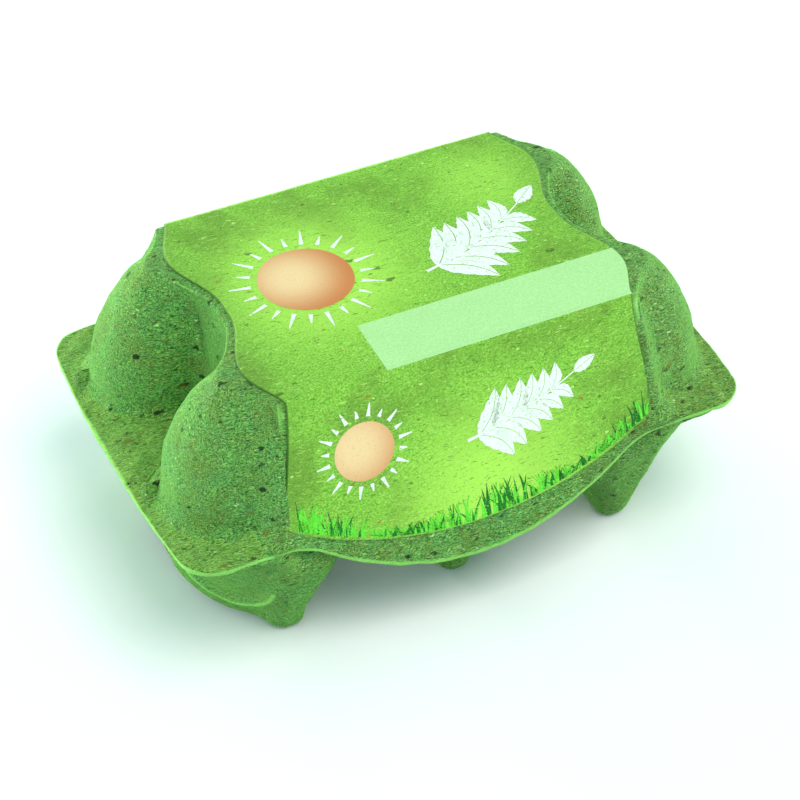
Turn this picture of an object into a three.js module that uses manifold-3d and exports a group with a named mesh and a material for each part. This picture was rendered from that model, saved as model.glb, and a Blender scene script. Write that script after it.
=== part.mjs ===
// Shut moulded pulp carton for eggs in two rows of three, with a paper label over its top and front.
// Lengths are millimetres. X runs along the carton, Y from the front to the hinge side, Z up.
import * as THREE from 'three';
import { mergeVertices } from 'three/addons/utils/BufferGeometryUtils.js';
import Module from 'manifold-3d';

const wasm = await Module();
wasm.setup();

// Faces that would lie in one plane are set this far apart
const faceStep = 0.15;

// Rim where lid and tray meet
const rimHalfLength = 75;
const rimHalfWidth = 47.3;
const rimCorner = 8;
const rimBow = 2.6;
const rimTop = 38.6;
const rimThickness = 1.3;
const rimFillet = 3.6;
const rimValleyEnd = 22.2;

// Lid: a flat top with straight front and rear panels
const lidTop = 71.8;
const topHalfLength = 45.2;
const topHalfWidth = 35.6;
const panelDraft = 0.254;
const endDraft = 0.07;
const rearFlare = 0.36;
const rearFlareDepth = 8;
const rearFlareEnd = 34;
const foldRadius = 1.3;

// Lid: a dome over each corner egg, whose top reaches out of the flat top as a lobe
const domeX = 49;
const rowY = 22.2;
const domeReach = 20.3;
const domeInner = 14.8;
const domeOuter = 17;
const domeFloor = 36.7;
const domeHeight = 35.75;
const domePlanPower = 2.45;
const domeSidePower = 2;
const lobeReach = 7.2;
const lobeInnerWidth = 20;
const lobeOuterWidth = 17.5;
const lobeDepth = 14;
const domeBlend = 4.5;

// Front flap, which hangs over the tray
const flapHalfWidth = 46.5;
const flapLow = 18;
const flapHigh = 35.3;
const flapCurve = 0.0086;
const flapThickness = 2;
const flapRoot = 43;
const flapShelfStart = 43.2;

// Tray: six round cups cut off by sloping walls, each with a foot
const trayTop = 37;
const trayOverlap = 0.9;
const trayHalfLength = 70.3;
const trayHalfWidth = 47;
const footHalfLength = 61.8;
const footHalfWidth = 36;
const trayCorner = 22;
const footCorner = 30;
const plateCorner = 11;
const plateDepth = 1.5;
const cupSpacing = 47;
const cupY = 16.4;
const footSpacing = 43.3;
const footTopHalf = 4.4;
const footBottomHalf = 4.2;
const footDepthTop = 23.1;
const footDepthBottom = 13.5;

// Reach of a cup from the middle of its mouth. The corner cups bulge further at their outer side.
const middleCup = { outward: 30.4, inward: 30.4, across: 29.8, down: 33, power: 2.19 };
const cornerCup = { outward: 31.8, inward: 24.4, across: 31.5, down: 36.4, power: 2.77 };

// Room left behind the flap
const flapPocket = { halfWidth: 44, gap: 1.3, floor: 20, beyond: 5 };

// Small lugs on the rim at the outer end of each dome
const lug = { inner: 66, outer: 73.8, rear: 8.3, front: -1.2, height: 2.2, frontHeight: 0.7 };

// Paper label
const labelGap = 0.3;
const labelThickness = 0.3;
const labelHalfLength = 43.5;
const labelLobe = 5.5;
const labelFoldHalf = 44.2;
const labelFlare = 5.1;
const labelFlareDepth = 30;
const labelLow = 28.2;
const labelCurve = 0.0058;

// The front flap stands out further than the rear rim, so all is moved back to centre the box
const flapFace = topHalfWidth + (lidTop - flapLow) * panelDraft - faceStep;
const centreShift = (flapFace - rimHalfWidth) / 2;

// Rays in plan along which the lid's rings are found: they start this far inside the outline,
// turn round the domes with this power and lean into the valley by this angle
const rayStart = 8;
const rayTurnPower = 1.3;
const valleyLean = 0.61;
const lobeShare = 0.8;

// Depths below the lid's top, and heights above the rim, at which the lid's rings lie
const lidDepths = [0, 0.4, foldRadius, 2.4, 3.8, 5.8, 8.6, 12, 16.5, 21.5, 26.5, 29.5];
const filletRises = [2, 0.8, 0.15];

// Number of steps along each stretch of the meshes
const steps = {
  panel: 8,
  outer: 14,
  inner: 12,
  cupRound: 24,
  cupDown: 8,
  flap: 24,
  labelAcross: 18,
  labelTop: 20,
  labelFront: 4,
};

function smoothMin(a, b, width) {
  const overlap = Math.max(width - Math.abs(a - b), 0);
  return Math.min(a, b) - (width > 0 ? overlap * overlap / (4 * width) : 0);
}

// From 0 up to 1 between two values, level at both
function smoothStep(value, low, high) {
  const share = Math.min(Math.max((value - low) / (high - low), 0), 1);
  return share * share * (3 - 2 * share);
}

// How far the wavy end of the flat top reaches out beside each row, from 0 to 1
function lobe(y) {
  const away = Math.abs(y) - rowY;
  const share = Math.abs(away) / (away > 0 ? lobeOuterWidth : lobeInnerWidth);
  return Math.cos(Math.min(share, 1) * Math.PI / 2) ** 2;
}

// Half width of the front and rear panels at a height
function panelFace(z) {
  return topHalfWidth + (lidTop - z) * panelDraft;
}

// Scale of a dome's level section, 1 at its floor and 0 at its top
function domeSection(z) {
  const rise = Math.min(Math.max((z - domeFloor) / domeHeight, 0), 1);
  return (1 - rise ** domeSidePower) ** (1 / domeSidePower);
}

// Signed distance, roughly, from the lid's level section at height z, for x and y both positive.
// The rear corners flare out over the first of their depth.
function lidSection(x, y, z, isRear) {
  const depth = lidTop - z;
  const fade = Math.max(1 - depth / lobeDepth, 0) ** 2;
  const flared = isRear ? Math.min(depth, rearFlareDepth) * smoothStep(y, rowY, rearFlareEnd) : 0;
  const end = topHalfLength + depth * endDraft + rearFlare * flared + lobeReach * lobe(y) * fade;
  const body = Math.max(x - end, y - panelFace(z));
  const along = Math.max(x - domeX, 0) / domeReach;
  const across = y > rowY ? (y - rowY) / domeOuter : (rowY - y) / domeInner;
  const plan = (along ** domePlanPower + across ** domePlanPower) ** (1 / domePlanPower);
  const dome = (plan - domeSection(z)) * domeOuter;
  const blend = domeBlend * Math.min(Math.max((x - topHalfLength + 1) / 3, 0), 1);
  return smoothMin(body, dome, blend);
}

// Signed distance from the rim's outline, whose ends bow outwards
function rimSection(x, y, inset) {
  const bowed = rimHalfLength - inset - rimBow * (y / rimHalfWidth) ** 2;
  const corner = rimCorner - inset;
  const dx = x - (bowed - corner);
  const dy = y - (rimHalfWidth - inset - corner);
  return Math.hypot(Math.max(dx, 0), Math.max(dy, 0)) + Math.min(Math.max(dx, dy), 0) - corner;
}

// Distance along a ray at which a section's distance turns positive
function crossing(start, direction, section) {
  let low = 0;
  let high = 60;
  for (let i = 0; i < 40; i += 1) {
    const middle = (low + high) / 2;
    const value = section(start.x + direction.x * middle, start.y + direction.y * middle);
    if (value < 0) low = middle;
    else high = middle;
  }
  return (low + high) / 2;
}

// Rays of one quarter in plan, from the middle of the front to the middle of the end.
// They fan out round each dome and lean into the valley between the two domes.
function quarterRays() {
  const rays = [];
  for (let i = 0; i < steps.panel; i += 1) {
    const start = new THREE.Vector2(flapShelfStart * i / (steps.panel - 1), topHalfWidth - rayStart);
    rays.push({ start, angle: Math.PI / 2, isPanel: true, valleyShare: null });
  }
  for (let i = 0; i <= steps.outer + steps.inner; i += 1) {
    const outer = topHalfWidth - (topHalfWidth - rowY) * i / steps.outer;
    const y = i < steps.outer ? outer : rowY * (1 - (i - steps.outer) / steps.inner);
    const outward = (y - rowY) / (topHalfWidth - rowY);
    const turned = Math.PI / 2 * outward ** rayTurnPower;
    const angle = y > rowY ? turned : -valleyLean * Math.sin(Math.PI * y / rowY);
    const edge = new THREE.Vector2(topHalfLength + lobeReach * lobe(y) * lobeShare, y);
    const back = new THREE.Vector2(Math.cos(angle), Math.sin(angle)).multiplyScalar(rayStart);
    rays.push({ start: edge.sub(back), angle, isPanel: false, valleyShare: y < rowY ? y / rowY : null });
  }
  return rays;
}

// Repeats a quarter's rays round the whole outline, anticlockwise from the middle of the front
function allRays() {
  const quarter = quarterRays();
  const last = quarter.length - 1;
  const rays = [];
  const add = (ray, signX, signY) => rays.push({ ...ray, signX, signY });
  for (let i = 0; i < last; i += 1) add(quarter[i], 1, -1);
  for (let i = last; i > 0; i -= 1) add(quarter[i], 1, 1);
  for (let i = 0; i < last; i += 1) add(quarter[i], -1, 1);
  for (let i = last; i > 0; i -= 1) add(quarter[i], -1, -1);
  return rays;
}

// One ring of points where a section meets the rays, moved along them
function sectionRing(rays, z, move, section) {
  return rays.map((ray) => {
    const direction = new THREE.Vector2(Math.cos(ray.angle), Math.sin(ray.angle));
    const edge = crossing(ray.start, direction, (x, y) => section(x, y, ray.signY > 0));
    const reach = edge + move(ray, ray.start.x + direction.x * edge);
    const x = ray.start.x + direction.x * reach;
    const y = ray.start.y + direction.y * reach;
    return new THREE.Vector3(ray.signX * x, ray.signY * y, z);
  });
}

// Closed mesh from a stack of rings with equal counts, with a centre point at each end
function skinRings(rings) {
  const count = rings[0].length;
  const points = [];
  const faces = [];
  for (const ring of rings) points.push(...ring);
  for (let k = 0; k + 1 < rings.length; k += 1) {
    for (let i = 0; i < count; i += 1) {
      const j = (i + 1) % count;
      const a = k * count;
      const b = a + count;
      faces.push(a + i, b + i, b + j, a + i, b + j, a + j);
    }
  }
  const first = points.length;
  points.push(middle(rings[0]));
  points.push(middle(rings[rings.length - 1]));
  const low = (rings.length - 1) * count;
  for (let i = 0; i < count; i += 1) {
    const j = (i + 1) % count;
    faces.push(first, i, j);
    faces.push(first + 1, low + j, low + i);
  }
  return meshGeometry(points, faces);
}

function middle(ring) {
  const sum = new THREE.Vector3();
  for (const point of ring) sum.add(point);
  return sum.divideScalar(ring.length);
}

function meshGeometry(points, faces) {
  const geometry = new THREE.BufferGeometry();
  const flat = points.flatMap((point) => [point.x, point.y, point.z]);
  geometry.setAttribute('position', new THREE.Float32BufferAttribute(flat, 3));
  geometry.setIndex(faces);
  return geometry;
}

function toSolid(geometry) {
  const plain = geometry.clone();
  plain.deleteAttribute('normal');
  plain.deleteAttribute('uv');
  const merged = mergeVertices(plain, 1e-4);
  return new wasm.Manifold(new wasm.Mesh({
    numProp: 3,
    vertProperties: new Float32Array(merged.attributes.position.array),
    triVerts: new Uint32Array(merged.index.array),
  }));
}

function fromSolid(solid) {
  const mesh = solid.getMesh();
  const geometry = new THREE.BufferGeometry();
  geometry.setAttribute('position', new THREE.Float32BufferAttribute(Array.from(mesh.vertProperties), 3));
  geometry.setIndex(Array.from(mesh.triVerts));
  geometry.computeVertexNormals();
  return geometry;
}

// The lid's shell as one solid, from its flat top down to the underside of its rim
function lidSolid() {
  const rays = allRays();
  const inFlap = (ray) => ray.isPanel && ray.signY < 0;
  const rings = [];
  for (const depth of lidDepths) {
    const rest = Math.max(foldRadius - depth, 0);
    const inset = foldRadius - Math.sqrt(foldRadius ** 2 - rest ** 2);
    const z = lidTop - depth;
    rings.push(sectionRing(rays, z, () => -inset, (x, y, isRear) => lidSection(x, y, z, isRear)));
  }
  for (const rise of filletRises) {
    const outset = (ray, x) => {
      // In front the fillet stays below the label's lower edge
      const room = ray.signY < 0 ? labelLow + labelCurve * x * x - rimTop - labelGap : rimFillet;
      const radius = inFlap(ray) ? 0 : Math.min(room, rimFillet);
      const rest = Math.max(radius - rise, 0);
      return radius - Math.sqrt(radius ** 2 - rest ** 2);
    };
    const z = rimTop + rise;
    rings.push(sectionRing(rays, z, outset, (x, y, isRear) => lidSection(x, y, z, isRear)));
  }
  const flapEdge = panelFace(rimTop);
  for (const z of [rimTop, rimTop - rimThickness]) {
    const ring = sectionRing(rays, z, () => 0, (x, y) => rimSection(x, y, 0));
    ring.forEach((point, i) => {
      const ray = rays[i];
      if (inFlap(ray)) point.y = -flapEdge - (rimTop - z) * panelDraft;
      if (ray.valleyShare !== null) {
        // Rays that lean into the valley would meet, so they end spread along the rim
        point.y = ray.signY * rimValleyEnd * ray.valleyShare;
        point.x = ray.signX * (rimHalfLength - rimBow * (point.y / rimHalfWidth) ** 2);
      }
    });
    rings.push(ring);
  }
  return toSolid(skinRings(rings));
}

// Height of the flap's lower edge
function flapEdgeHeight(x) {
  return smoothMin(flapLow + flapCurve * x * x, flapHigh, 4);
}

// The flap carries on the slope of the front panel
function flapSolid() {
  const points = [];
  const faces = [];
  for (let i = 0; i <= steps.flap; i += 1) {
    const x = flapHalfWidth * (2 * i / steps.flap - 1);
    for (const z of [flapRoot, flapEdgeHeight(x)]) {
      const face = -panelFace(z) + faceStep;
      points.push(new THREE.Vector3(x, face, z));
      points.push(new THREE.Vector3(x, face + flapThickness, z));
    }
  }
  const quad = (a, b, c, d) => faces.push(a, b, c, a, c, d);
  for (let i = 0; i < steps.flap; i += 1) {
    const a = 4 * i;
    const b = a + 4;
    quad(a, a + 2, b + 2, b);
    quad(a + 1, b + 1, b + 3, a + 3);
    quad(a, b, b + 1, a + 1);
    quad(a + 2, a + 3, b + 3, b + 2);
  }
  const end = 4 * steps.flap;
  quad(0, 1, 3, 2);
  quad(end, end + 2, end + 3, end + 1);
  return toSolid(meshGeometry(points, faces));
}

// Ring of a rounded rectangle
function rectangleRing(halfX, halfY, corner, z, arcSteps = 5) {
  const ring = [];
  for (const [signX, signY, turn] of [[1, 1, 0], [-1, 1, 1], [-1, -1, 2], [1, -1, 3]]) {
    for (let i = 0; i <= arcSteps; i += 1) {
      const angle = (turn + i / arcSteps) * Math.PI / 2;
      const x = signX * (halfX - corner) + corner * Math.cos(angle);
      const y = signY * (halfY - corner) + corner * Math.sin(angle);
      ring.push(new THREE.Vector3(x, y, z));
    }
  }
  return ring;
}

// A cup's outside: the lower half of a rounded bowl
function cupSolid(x, y, reach) {
  const rings = [];
  const round = (value) => Math.sign(value) * Math.abs(value) ** (2 / reach.power);
  for (let k = 0; k < steps.cupDown; k += 1) {
    const tilt = Math.PI / 2 * k / steps.cupDown;
    const ring = [];
    for (let i = 0; i < steps.cupRound; i += 1) {
      const turn = 2 * Math.PI * i / steps.cupRound;
      const along = x * Math.cos(turn) > 0 ? reach.outward : reach.inward;
      ring.push(new THREE.Vector3(
        x + along * round(Math.cos(turn)) * round(Math.cos(tilt)),
        y + reach.across * round(Math.sin(turn)) * round(Math.cos(tilt)),
        trayTop - reach.down * round(Math.sin(tilt)),
      ));
    }
    if (k === 0) rings.push(ring.map((point) => point.clone().setZ(trayTop + trayOverlap)));
    rings.push(ring);
  }
  return toSolid(skinRings(rings));
}

// A foot tapers down from the tray wall, with its outer face in the slope of that wall
function footSolid(x, side) {
  const rings = [];
  for (const [z, trim] of [[trayTop - 1, 0], [20, 0], [2.2, 0], [0.6, 0.6], [0, 1.6]]) {
    const share = z / trayTop;
    const halfX = footBottomHalf + (footTopHalf - footBottomHalf) * share - trim;
    const depth = footDepthBottom + (footDepthTop - footDepthBottom) * share - 2 * trim;
    const face = footHalfWidth + (trayHalfWidth - footHalfWidth) * share + faceStep - trim;
    const corner = Math.min(2.4, halfX - 0.2);
    const ring = rectangleRing(halfX, depth / 2, corner, z, 3);
    rings.push(ring.map((point) => point.add(new THREE.Vector3(x, side * (face - depth / 2), 0))));
  }
  return toSolid(skinRings(rings));
}

// What is cut off the tray behind the flap, along the flap's slope
function pocketSolid() {
  const out = -trayHalfWidth - flapPocket.beyond;
  const ring = (z) => {
    const face = -panelFace(z) + flapThickness + flapPocket.gap;
    const corners = [[1, out], [1, face], [-1, face], [-1, out]];
    return corners.map(([side, y]) => new THREE.Vector3(side * flapPocket.halfWidth, y, z));
  };
  return toSolid(skinRings([ring(trayTop + flapPocket.beyond), ring(flapPocket.floor)]));
}

// The tray: cups joined, cut off by the sloping walls, with a rim plate, a pocket and feet
function traySolid() {
  let cups = null;
  let feet = null;
  for (const column of [-1, 0, 1]) {
    for (const row of [-1, 1]) {
      const cup = cupSolid(column * cupSpacing, row * cupY, column ? cornerCup : middleCup);
      const foot = footSolid(column * footSpacing, row);
      cups = cups ? cups.add(cup) : cup;
      feet = feet ? feet.add(foot) : foot;
    }
  }
  const top = trayTop + trayOverlap;
  const walls = toSolid(skinRings([
    rectangleRing(trayHalfLength, trayHalfWidth, trayCorner, top),
    rectangleRing(trayHalfLength, trayHalfWidth, trayCorner, trayTop),
    rectangleRing(footHalfLength, footHalfWidth, footCorner, 0),
  ]));
  const plate = toSolid(skinRings([
    rectangleRing(trayHalfLength, trayHalfWidth, plateCorner, top),
    rectangleRing(trayHalfLength, trayHalfWidth, plateCorner, trayTop - plateDepth),
  ]));
  return cups.intersect(walls).add(plate).add(feet).subtract(pocketSolid());
}

// A lug: a low wedge, steep towards the rear
function lugSolid(signX, row) {
  const profile = new THREE.Shape();
  profile.moveTo(row * rowY + lug.rear, rimTop - 0.6);
  profile.lineTo(row * rowY + lug.rear, rimTop + lug.height);
  profile.lineTo(row * rowY + lug.front + 2, rimTop + lug.frontHeight);
  profile.lineTo(row * rowY + lug.front, rimTop - 0.1);
  profile.lineTo(row * rowY + lug.front, rimTop - 0.6);
  const wedge = new THREE.ExtrudeGeometry(profile, { depth: lug.outer - lug.inner, bevelEnabled: false });
  // The profile's x and y become Y and Z, and the extrusion runs along X
  wedge.applyMatrix4(new THREE.Matrix4().makeBasis(
    new THREE.Vector3(0, 1, 0),
    new THREE.Vector3(0, 0, 1),
    new THREE.Vector3(1, 0, 0),
  ));
  wedge.translate(signX > 0 ? lug.inner : -lug.outer, 0, 0);
  return toSolid(wedge);
}

// The whole carton is one moulding
function cartonGeometry() {
  let carton = lidSolid().add(flapSolid()).add(traySolid());
  for (const signX of [-1, 1]) {
    for (const row of [-1, 1]) carton = carton.add(lugSolid(signX, row));
  }
  return fromSolid(carton);
}

// Half length of the label at a place on the top
function labelTopEdge(y) {
  return labelHalfLength + labelLobe * lobe(y);
}

// Half length of the label on the front, which flares downwards
function labelFrontEdge(z) {
  return labelFoldHalf + labelFlare * (Math.max(lidTop - z, 0) / labelFlareDepth) ** 1.5;
}

// The label: one sheet over the top, folded down over the front
function labelGeometry() {
  const slope = Math.hypot(1, panelDraft);
  const rows = [];
  for (let k = 0; k <= steps.labelTop; k += 1) {
    const y = topHalfWidth * (1 - 2 * k / steps.labelTop);
    rows.push({ top: true, y });
  }
  for (let k = 1; k <= steps.labelFront; k += 1) rows.push({ top: false, share: k / steps.labelFront });
  const layer = (lift) => rows.flatMap((row, k) => {
    const points = [];
    const face = lift * slope;
    for (let i = 0; i <= steps.labelAcross; i += 1) {
      const along = 2 * i / steps.labelAcross - 1;
      if (row.top) {
        // The last row of the top lies on the fold, where both lifts meet
        const isFold = k === steps.labelTop;
        const y = isFold ? -(topHalfWidth + face - lift * panelDraft) : row.y;
        points.push(new THREE.Vector3(along * labelTopEdge(row.y), y, lidTop + lift));
      } else {
        const x = along * labelFrontEdge(labelLow + 12 * along * along);
        const low = labelLow + labelCurve * x * x;
        const z = lidTop - row.share * (lidTop - low);
        const edge = labelFrontEdge(z);
        points.push(new THREE.Vector3(along * edge, -panelFace(z) - face, z));
      }
    }
    return points;
  });
  const outer = layer(labelGap + labelThickness);
  const inner = layer(labelGap);
  const points = [...outer, ...inner];
  const faces = [];
  const across = steps.labelAcross + 1;
  const shift = outer.length;
  const quad = (a, b, c, d) => faces.push(a, b, c, a, c, d);
  for (let k = 0; k + 1 < rows.length; k += 1) {
    for (let i = 0; i + 1 < across; i += 1) {
      const a = k * across + i;
      const b = a + across;
      quad(a, b, b + 1, a + 1);
      quad(a + shift, a + 1 + shift, b + 1 + shift, b + shift);
    }
    const left = k * across;
    const right = left + across - 1;
    quad(left, left + shift, left + across + shift, left + across);
    quad(right, right + across, right + across + shift, right + shift);
  }
  const foot = (rows.length - 1) * across;
  for (let i = 0; i + 1 < across; i += 1) {
    quad(i, i + 1, i + 1 + shift, i + shift);
    quad(foot + i, foot + i + shift, foot + i + 1 + shift, foot + i + 1);
  }
  const geometry = meshGeometry(points, faces);
  geometry.computeVertexNormals();
  return geometry;
}

function namedMesh(name, geometry, color, roughness) {
  const material = new THREE.MeshStandardMaterial({ color, roughness, metalness: 0, flatShading: true });
  const mesh = new THREE.Mesh(geometry, material);
  mesh.name = name;
  mesh.position.y = centreShift;
  return mesh;
}

const part = new THREE.Group();
part.add(namedMesh('carton', cartonGeometry(), 0x5fa34e, 0.95));
part.add(namedMesh('label', labelGeometry(), 0x86bd45, 0.7));

export default part;
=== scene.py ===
import math

import bpy
import numpy as np
from mathutils import Matrix, Vector


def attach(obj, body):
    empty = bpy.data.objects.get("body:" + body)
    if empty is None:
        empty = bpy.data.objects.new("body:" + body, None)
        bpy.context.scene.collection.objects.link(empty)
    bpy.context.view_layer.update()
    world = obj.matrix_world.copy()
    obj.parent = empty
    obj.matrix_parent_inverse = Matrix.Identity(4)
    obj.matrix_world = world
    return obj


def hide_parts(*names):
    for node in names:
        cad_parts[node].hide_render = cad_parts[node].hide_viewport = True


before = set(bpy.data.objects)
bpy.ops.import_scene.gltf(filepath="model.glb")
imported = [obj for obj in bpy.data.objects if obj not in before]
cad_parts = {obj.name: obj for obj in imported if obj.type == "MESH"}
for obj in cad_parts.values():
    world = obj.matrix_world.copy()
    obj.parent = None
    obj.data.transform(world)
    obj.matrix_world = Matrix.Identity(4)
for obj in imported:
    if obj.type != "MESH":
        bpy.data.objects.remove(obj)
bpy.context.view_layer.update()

# Lengths in this script are millimetres until a mesh is made, then metres


# Lower of two values, rounded off where they meet.
def smoothMin(a, b, width):
    over = np.maximum(width - np.abs(a - b), 0)
    return np.minimum(a, b) - over * over / (4 * np.maximum(width, 1e-6))


def smoothStep(value, low, high):
    share = np.clip((value - low) / (high - low), 0, 1)
    return share * share * (3 - 2 * share)


# Smooth uneven height from -1 to 1: sines along random directions, added up.
def lumps(points, size, seed, count=14):
    rng = np.random.default_rng(seed)
    ways = rng.normal(size=(count, 3))
    lengths = np.linalg.norm(ways, axis=1, keepdims=True)
    ways *= (2 * np.pi / size) * rng.uniform(0.6, 1.5, (count, 1)) / lengths
    starts = rng.uniform(0, 2 * np.pi, count)
    return np.sin(points @ ways.T + starts).sum(axis=-1) / math.sqrt(count)


# Uneven pulp, as a height at each point: broad lumps with finer ones on them.
def unevenPulp(points, broad, fine, fineSize, seed):
    return broad * lumps(points, 9.0, seed) + fine * lumps(points, fineSize, seed + 1)


# Mesh object from points in millimetres and arrays of faces, one array for each number of corners.
def makeMesh(name, points, *faceSets):
    points = np.asarray(points, float).reshape(-1, 3) + np.array([0, shiftY, 0])
    mesh = bpy.data.meshes.new(name)
    mesh.vertices.add(len(points))
    mesh.vertices.foreach_set("co", (points * 0.001).astype(np.float32).ravel())
    corners = np.concatenate([np.asarray(f, int).ravel() for f in faceSets])
    widths = np.concatenate([np.full(len(f), np.shape(f)[1]) for f in faceSets])
    mesh.loops.add(len(corners))
    mesh.loops.foreach_set("vertex_index", corners)
    mesh.polygons.add(len(widths))
    mesh.polygons.foreach_set("loop_start", np.concatenate([[0], np.cumsum(widths)[:-1]]))
    mesh.polygons.foreach_set("use_smooth", np.ones(len(widths), bool))
    mesh.update(calc_edges=True)
    mesh.validate()
    made = bpy.data.objects.new(name, mesh)
    bpy.context.scene.collection.objects.link(made)
    print(name, len(points), "points", len(widths), "faces")
    return made


# Faces of a grid of points, wound so that rows going down and columns going round face outwards.
def gridFaces(rows, columns, closed=False, first=0):
    r, c = np.meshgrid(np.arange(rows - 1), np.arange(columns if closed else columns - 1), indexing="ij")
    a = first + r * columns + c
    b = first + r * columns + (c + 1) % columns
    return np.stack([a, a + columns, b + columns, b], axis=-1).reshape(-1, 4)


# Faces of two like grids, the second behind the first, closed round their edges.
def sheetFaces(rows, columns, first=0):
    size = rows * columns
    outer = gridFaces(rows, columns)
    edge = np.concatenate([
        np.arange(columns), np.arange(1, rows) * columns + columns - 1,
        (rows - 1) * columns + np.arange(columns - 2, -1, -1), np.arange(rows - 2, 0, -1) * columns])
    nextEdge = np.roll(edge, -1)
    side = np.stack([edge, nextEdge, nextEdge + size, edge + size], axis=-1)
    return np.concatenate([outer, outer[:, ::-1] + size, side]) + first


# Normals at the points of a mesh of quads.
def vertexNormals(points, faces):
    p = points[faces]
    face = np.cross(p[:, 2] - p[:, 0], p[:, 3] - p[:, 1])
    total = np.zeros_like(points)
    for k in range(4):
        np.add.at(total, faces[:, k], face)
    return total / np.maximum(np.linalg.norm(total, axis=1, keepdims=True), 1e-12)


# How sharply a mesh of quads bends at its points, in 1/mm: above 0 on ridges, below 0 in hollows.
# It is the turn of the normal over the length of each edge, averaged at the point and evened out once.
def ridges(points, faces):
    normals = vertexNormals(points, faces)
    a = faces.ravel()
    b = np.roll(faces, -1, axis=1).ravel()
    gap = points[b] - points[a]
    bend = ((normals[b] - normals[a]) * gap).sum(axis=1) / np.maximum((gap * gap).sum(axis=1), 0.01)
    hits = np.bincount(a, minlength=len(points)) + np.bincount(b, minlength=len(points))
    total = np.bincount(a, bend, len(points)) + np.bincount(b, bend, len(points))
    value = total / np.maximum(hits, 1)
    around = np.bincount(a, value[b], len(points)) + np.bincount(b, value[a], len(points))
    return (value + around / np.maximum(hits, 1)) / 2


# The ridge value drives painted highlight on ridges and painted shade in hollows in the pulp material
def keepRidges(made, value):
    layer = made.data.attributes.new("ridge", "FLOAT", "POINT")
    layer.data.foreach_set("value", value.astype(np.float32))
    return made


# Lid, with its rim and front flap

# wear is the painted highlight added along the rim's edge
rim = {"halfX": 75.0, "halfY": 47.3, "corner": 8.0, "bow": 2.6, "top": 38.6, "under": 37.3, "fillet": 3.6,
       "valleyEnd": 22.2, "wear": 1.2}
lid = {"top": 71.8, "halfX": 45.2, "halfY": 35.6, "draft": 0.254, "endDraft": 0.07, "fold": 0.8,
       "corner": 0.8, "rearFlare": 0.36, "flareDepth": 12.0, "frontFlare": 0.09, "flareEnd": 34.0,
       "lobe": 7.2, "lobeInner": 20.0, "lobeOuter": 17.5, "lobeDepth": 14.0, "blend": 6.0, "frontBlend": 8.0,
       "rearLean": 0.8, "rearDepth": (20.0, 35.0), "rearHeight": (44.0, 62.0),
       "dentAt": (-60.0, 30.0, 61.0), "dentRadius": 9.0, "dentPush": (0.9, -0.5)}
dome = {"x": 49.0, "y": 22.2, "reach": 20.3, "inner": 14.8, "outer": 17.0, "floor": 36.7, "height": 35.75,
        "planPower": 2.45, "sidePower": 2.03}
flap = {"low": 18.0, "high": 35.3, "curve": 0.0086, "blend": 4.0, "thick": 1.7, "start": 43.2, "end": 64.0,
        "lift": 2.0, "lifted": (46.0, 61.0), "hangs": (46.0, 60.0), "turns": (40.0, 62.0),
        "softStart": (41.0, 46.0), "softEnd": (58.0, 66.0), "softRounds": 60}
# Rays on the panel and on the outer and inner part of an end, how far inside they start, and numbers of rings
lidMesh = {"panel": 56, "outer": 84, "inner": 68, "inset": 8.0, "fold": 5, "wall": 52, "fillet": 9, "rim": 18}

# The part is modelled about the middle of its lid and moved back by shiftY, as the CAD is
frontFace = lid["halfY"] + (lid["top"] - flap["low"]) * lid["draft"] - 0.15
shiftY = (frontFace - rim["halfY"]) / 2


# Points held to the part's length and to its rear.
def holdSize(points):
    x, y, z = points.T
    return np.stack([np.clip(x, -rim["halfX"], rim["halfX"]), np.minimum(y, rim["halfY"]), z], axis=-1)


# How far the wavy end of the flat top reaches out: a squared cosine beside each row.
def lobe(y):
    away = np.abs(y) - dome["y"]
    share = np.minimum(np.abs(away) / np.where(away > 0, lid["lobeOuter"], lid["lobeInner"]), 1)
    return np.cos(share * np.pi / 2) ** 2


def panelFace(z):
    return lid["halfY"] + (lid["top"] - z) * lid["draft"]


# Rough distance from the lid's level section: box with sloping sides joined to a superellipse dome.
def lidSection(x, y, z, front):
    depth = lid["top"] - z
    fade = max(1 - depth / lid["lobeDepth"], 0) ** 2
    frontFlare = lid["frontFlare"] * depth * (depth / 30) ** 0.3
    rearFlare = lid["rearFlare"] * min(depth, lid["flareDepth"])
    flare = np.where(front, frontFlare, rearFlare) * smoothStep(y, dome["y"], lid["flareEnd"])
    end = lid["halfX"] + depth * lid["endDraft"] + flare + lid["lobe"] * lobe(y) * fade
    dx = x - end + lid["corner"]
    dy = y - panelFace(z) + lid["corner"]
    body = np.hypot(np.maximum(dx, 0), np.maximum(dy, 0)) + np.minimum(np.maximum(dx, dy), 0) - lid["corner"]
    rise = min(max((z - dome["floor"]) / dome["height"], 0), 1)
    size = (1 - rise ** dome["sidePower"]) ** (1 / dome["sidePower"])
    along = np.maximum(x - dome["x"], 0) / dome["reach"]
    across = np.abs(y - dome["y"]) / np.where(y > dome["y"], dome["outer"], dome["inner"])
    plan = (along ** dome["planPower"] + across ** dome["planPower"]) ** (1 / dome["planPower"])
    blend = np.where(front, lid["frontBlend"], lid["blend"]) * np.clip((x - lid["halfX"] + 1) / 3, 0, 1)
    return smoothMin(body, (plan - size) * dome["outer"], blend)


# Distance from the rim's outline: a rounded rectangle with bowed ends.
def rimSection(x, y):
    bowed = rim["halfX"] - rim["bow"] * (y / rim["halfY"]) ** 2
    dx = x - (bowed - rim["corner"])
    dy = y - (rim["halfY"] - rim["corner"])
    return np.hypot(np.maximum(dx, 0), np.maximum(dy, 0)) + np.minimum(np.maximum(dx, dy), 0) - rim["corner"]


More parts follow.
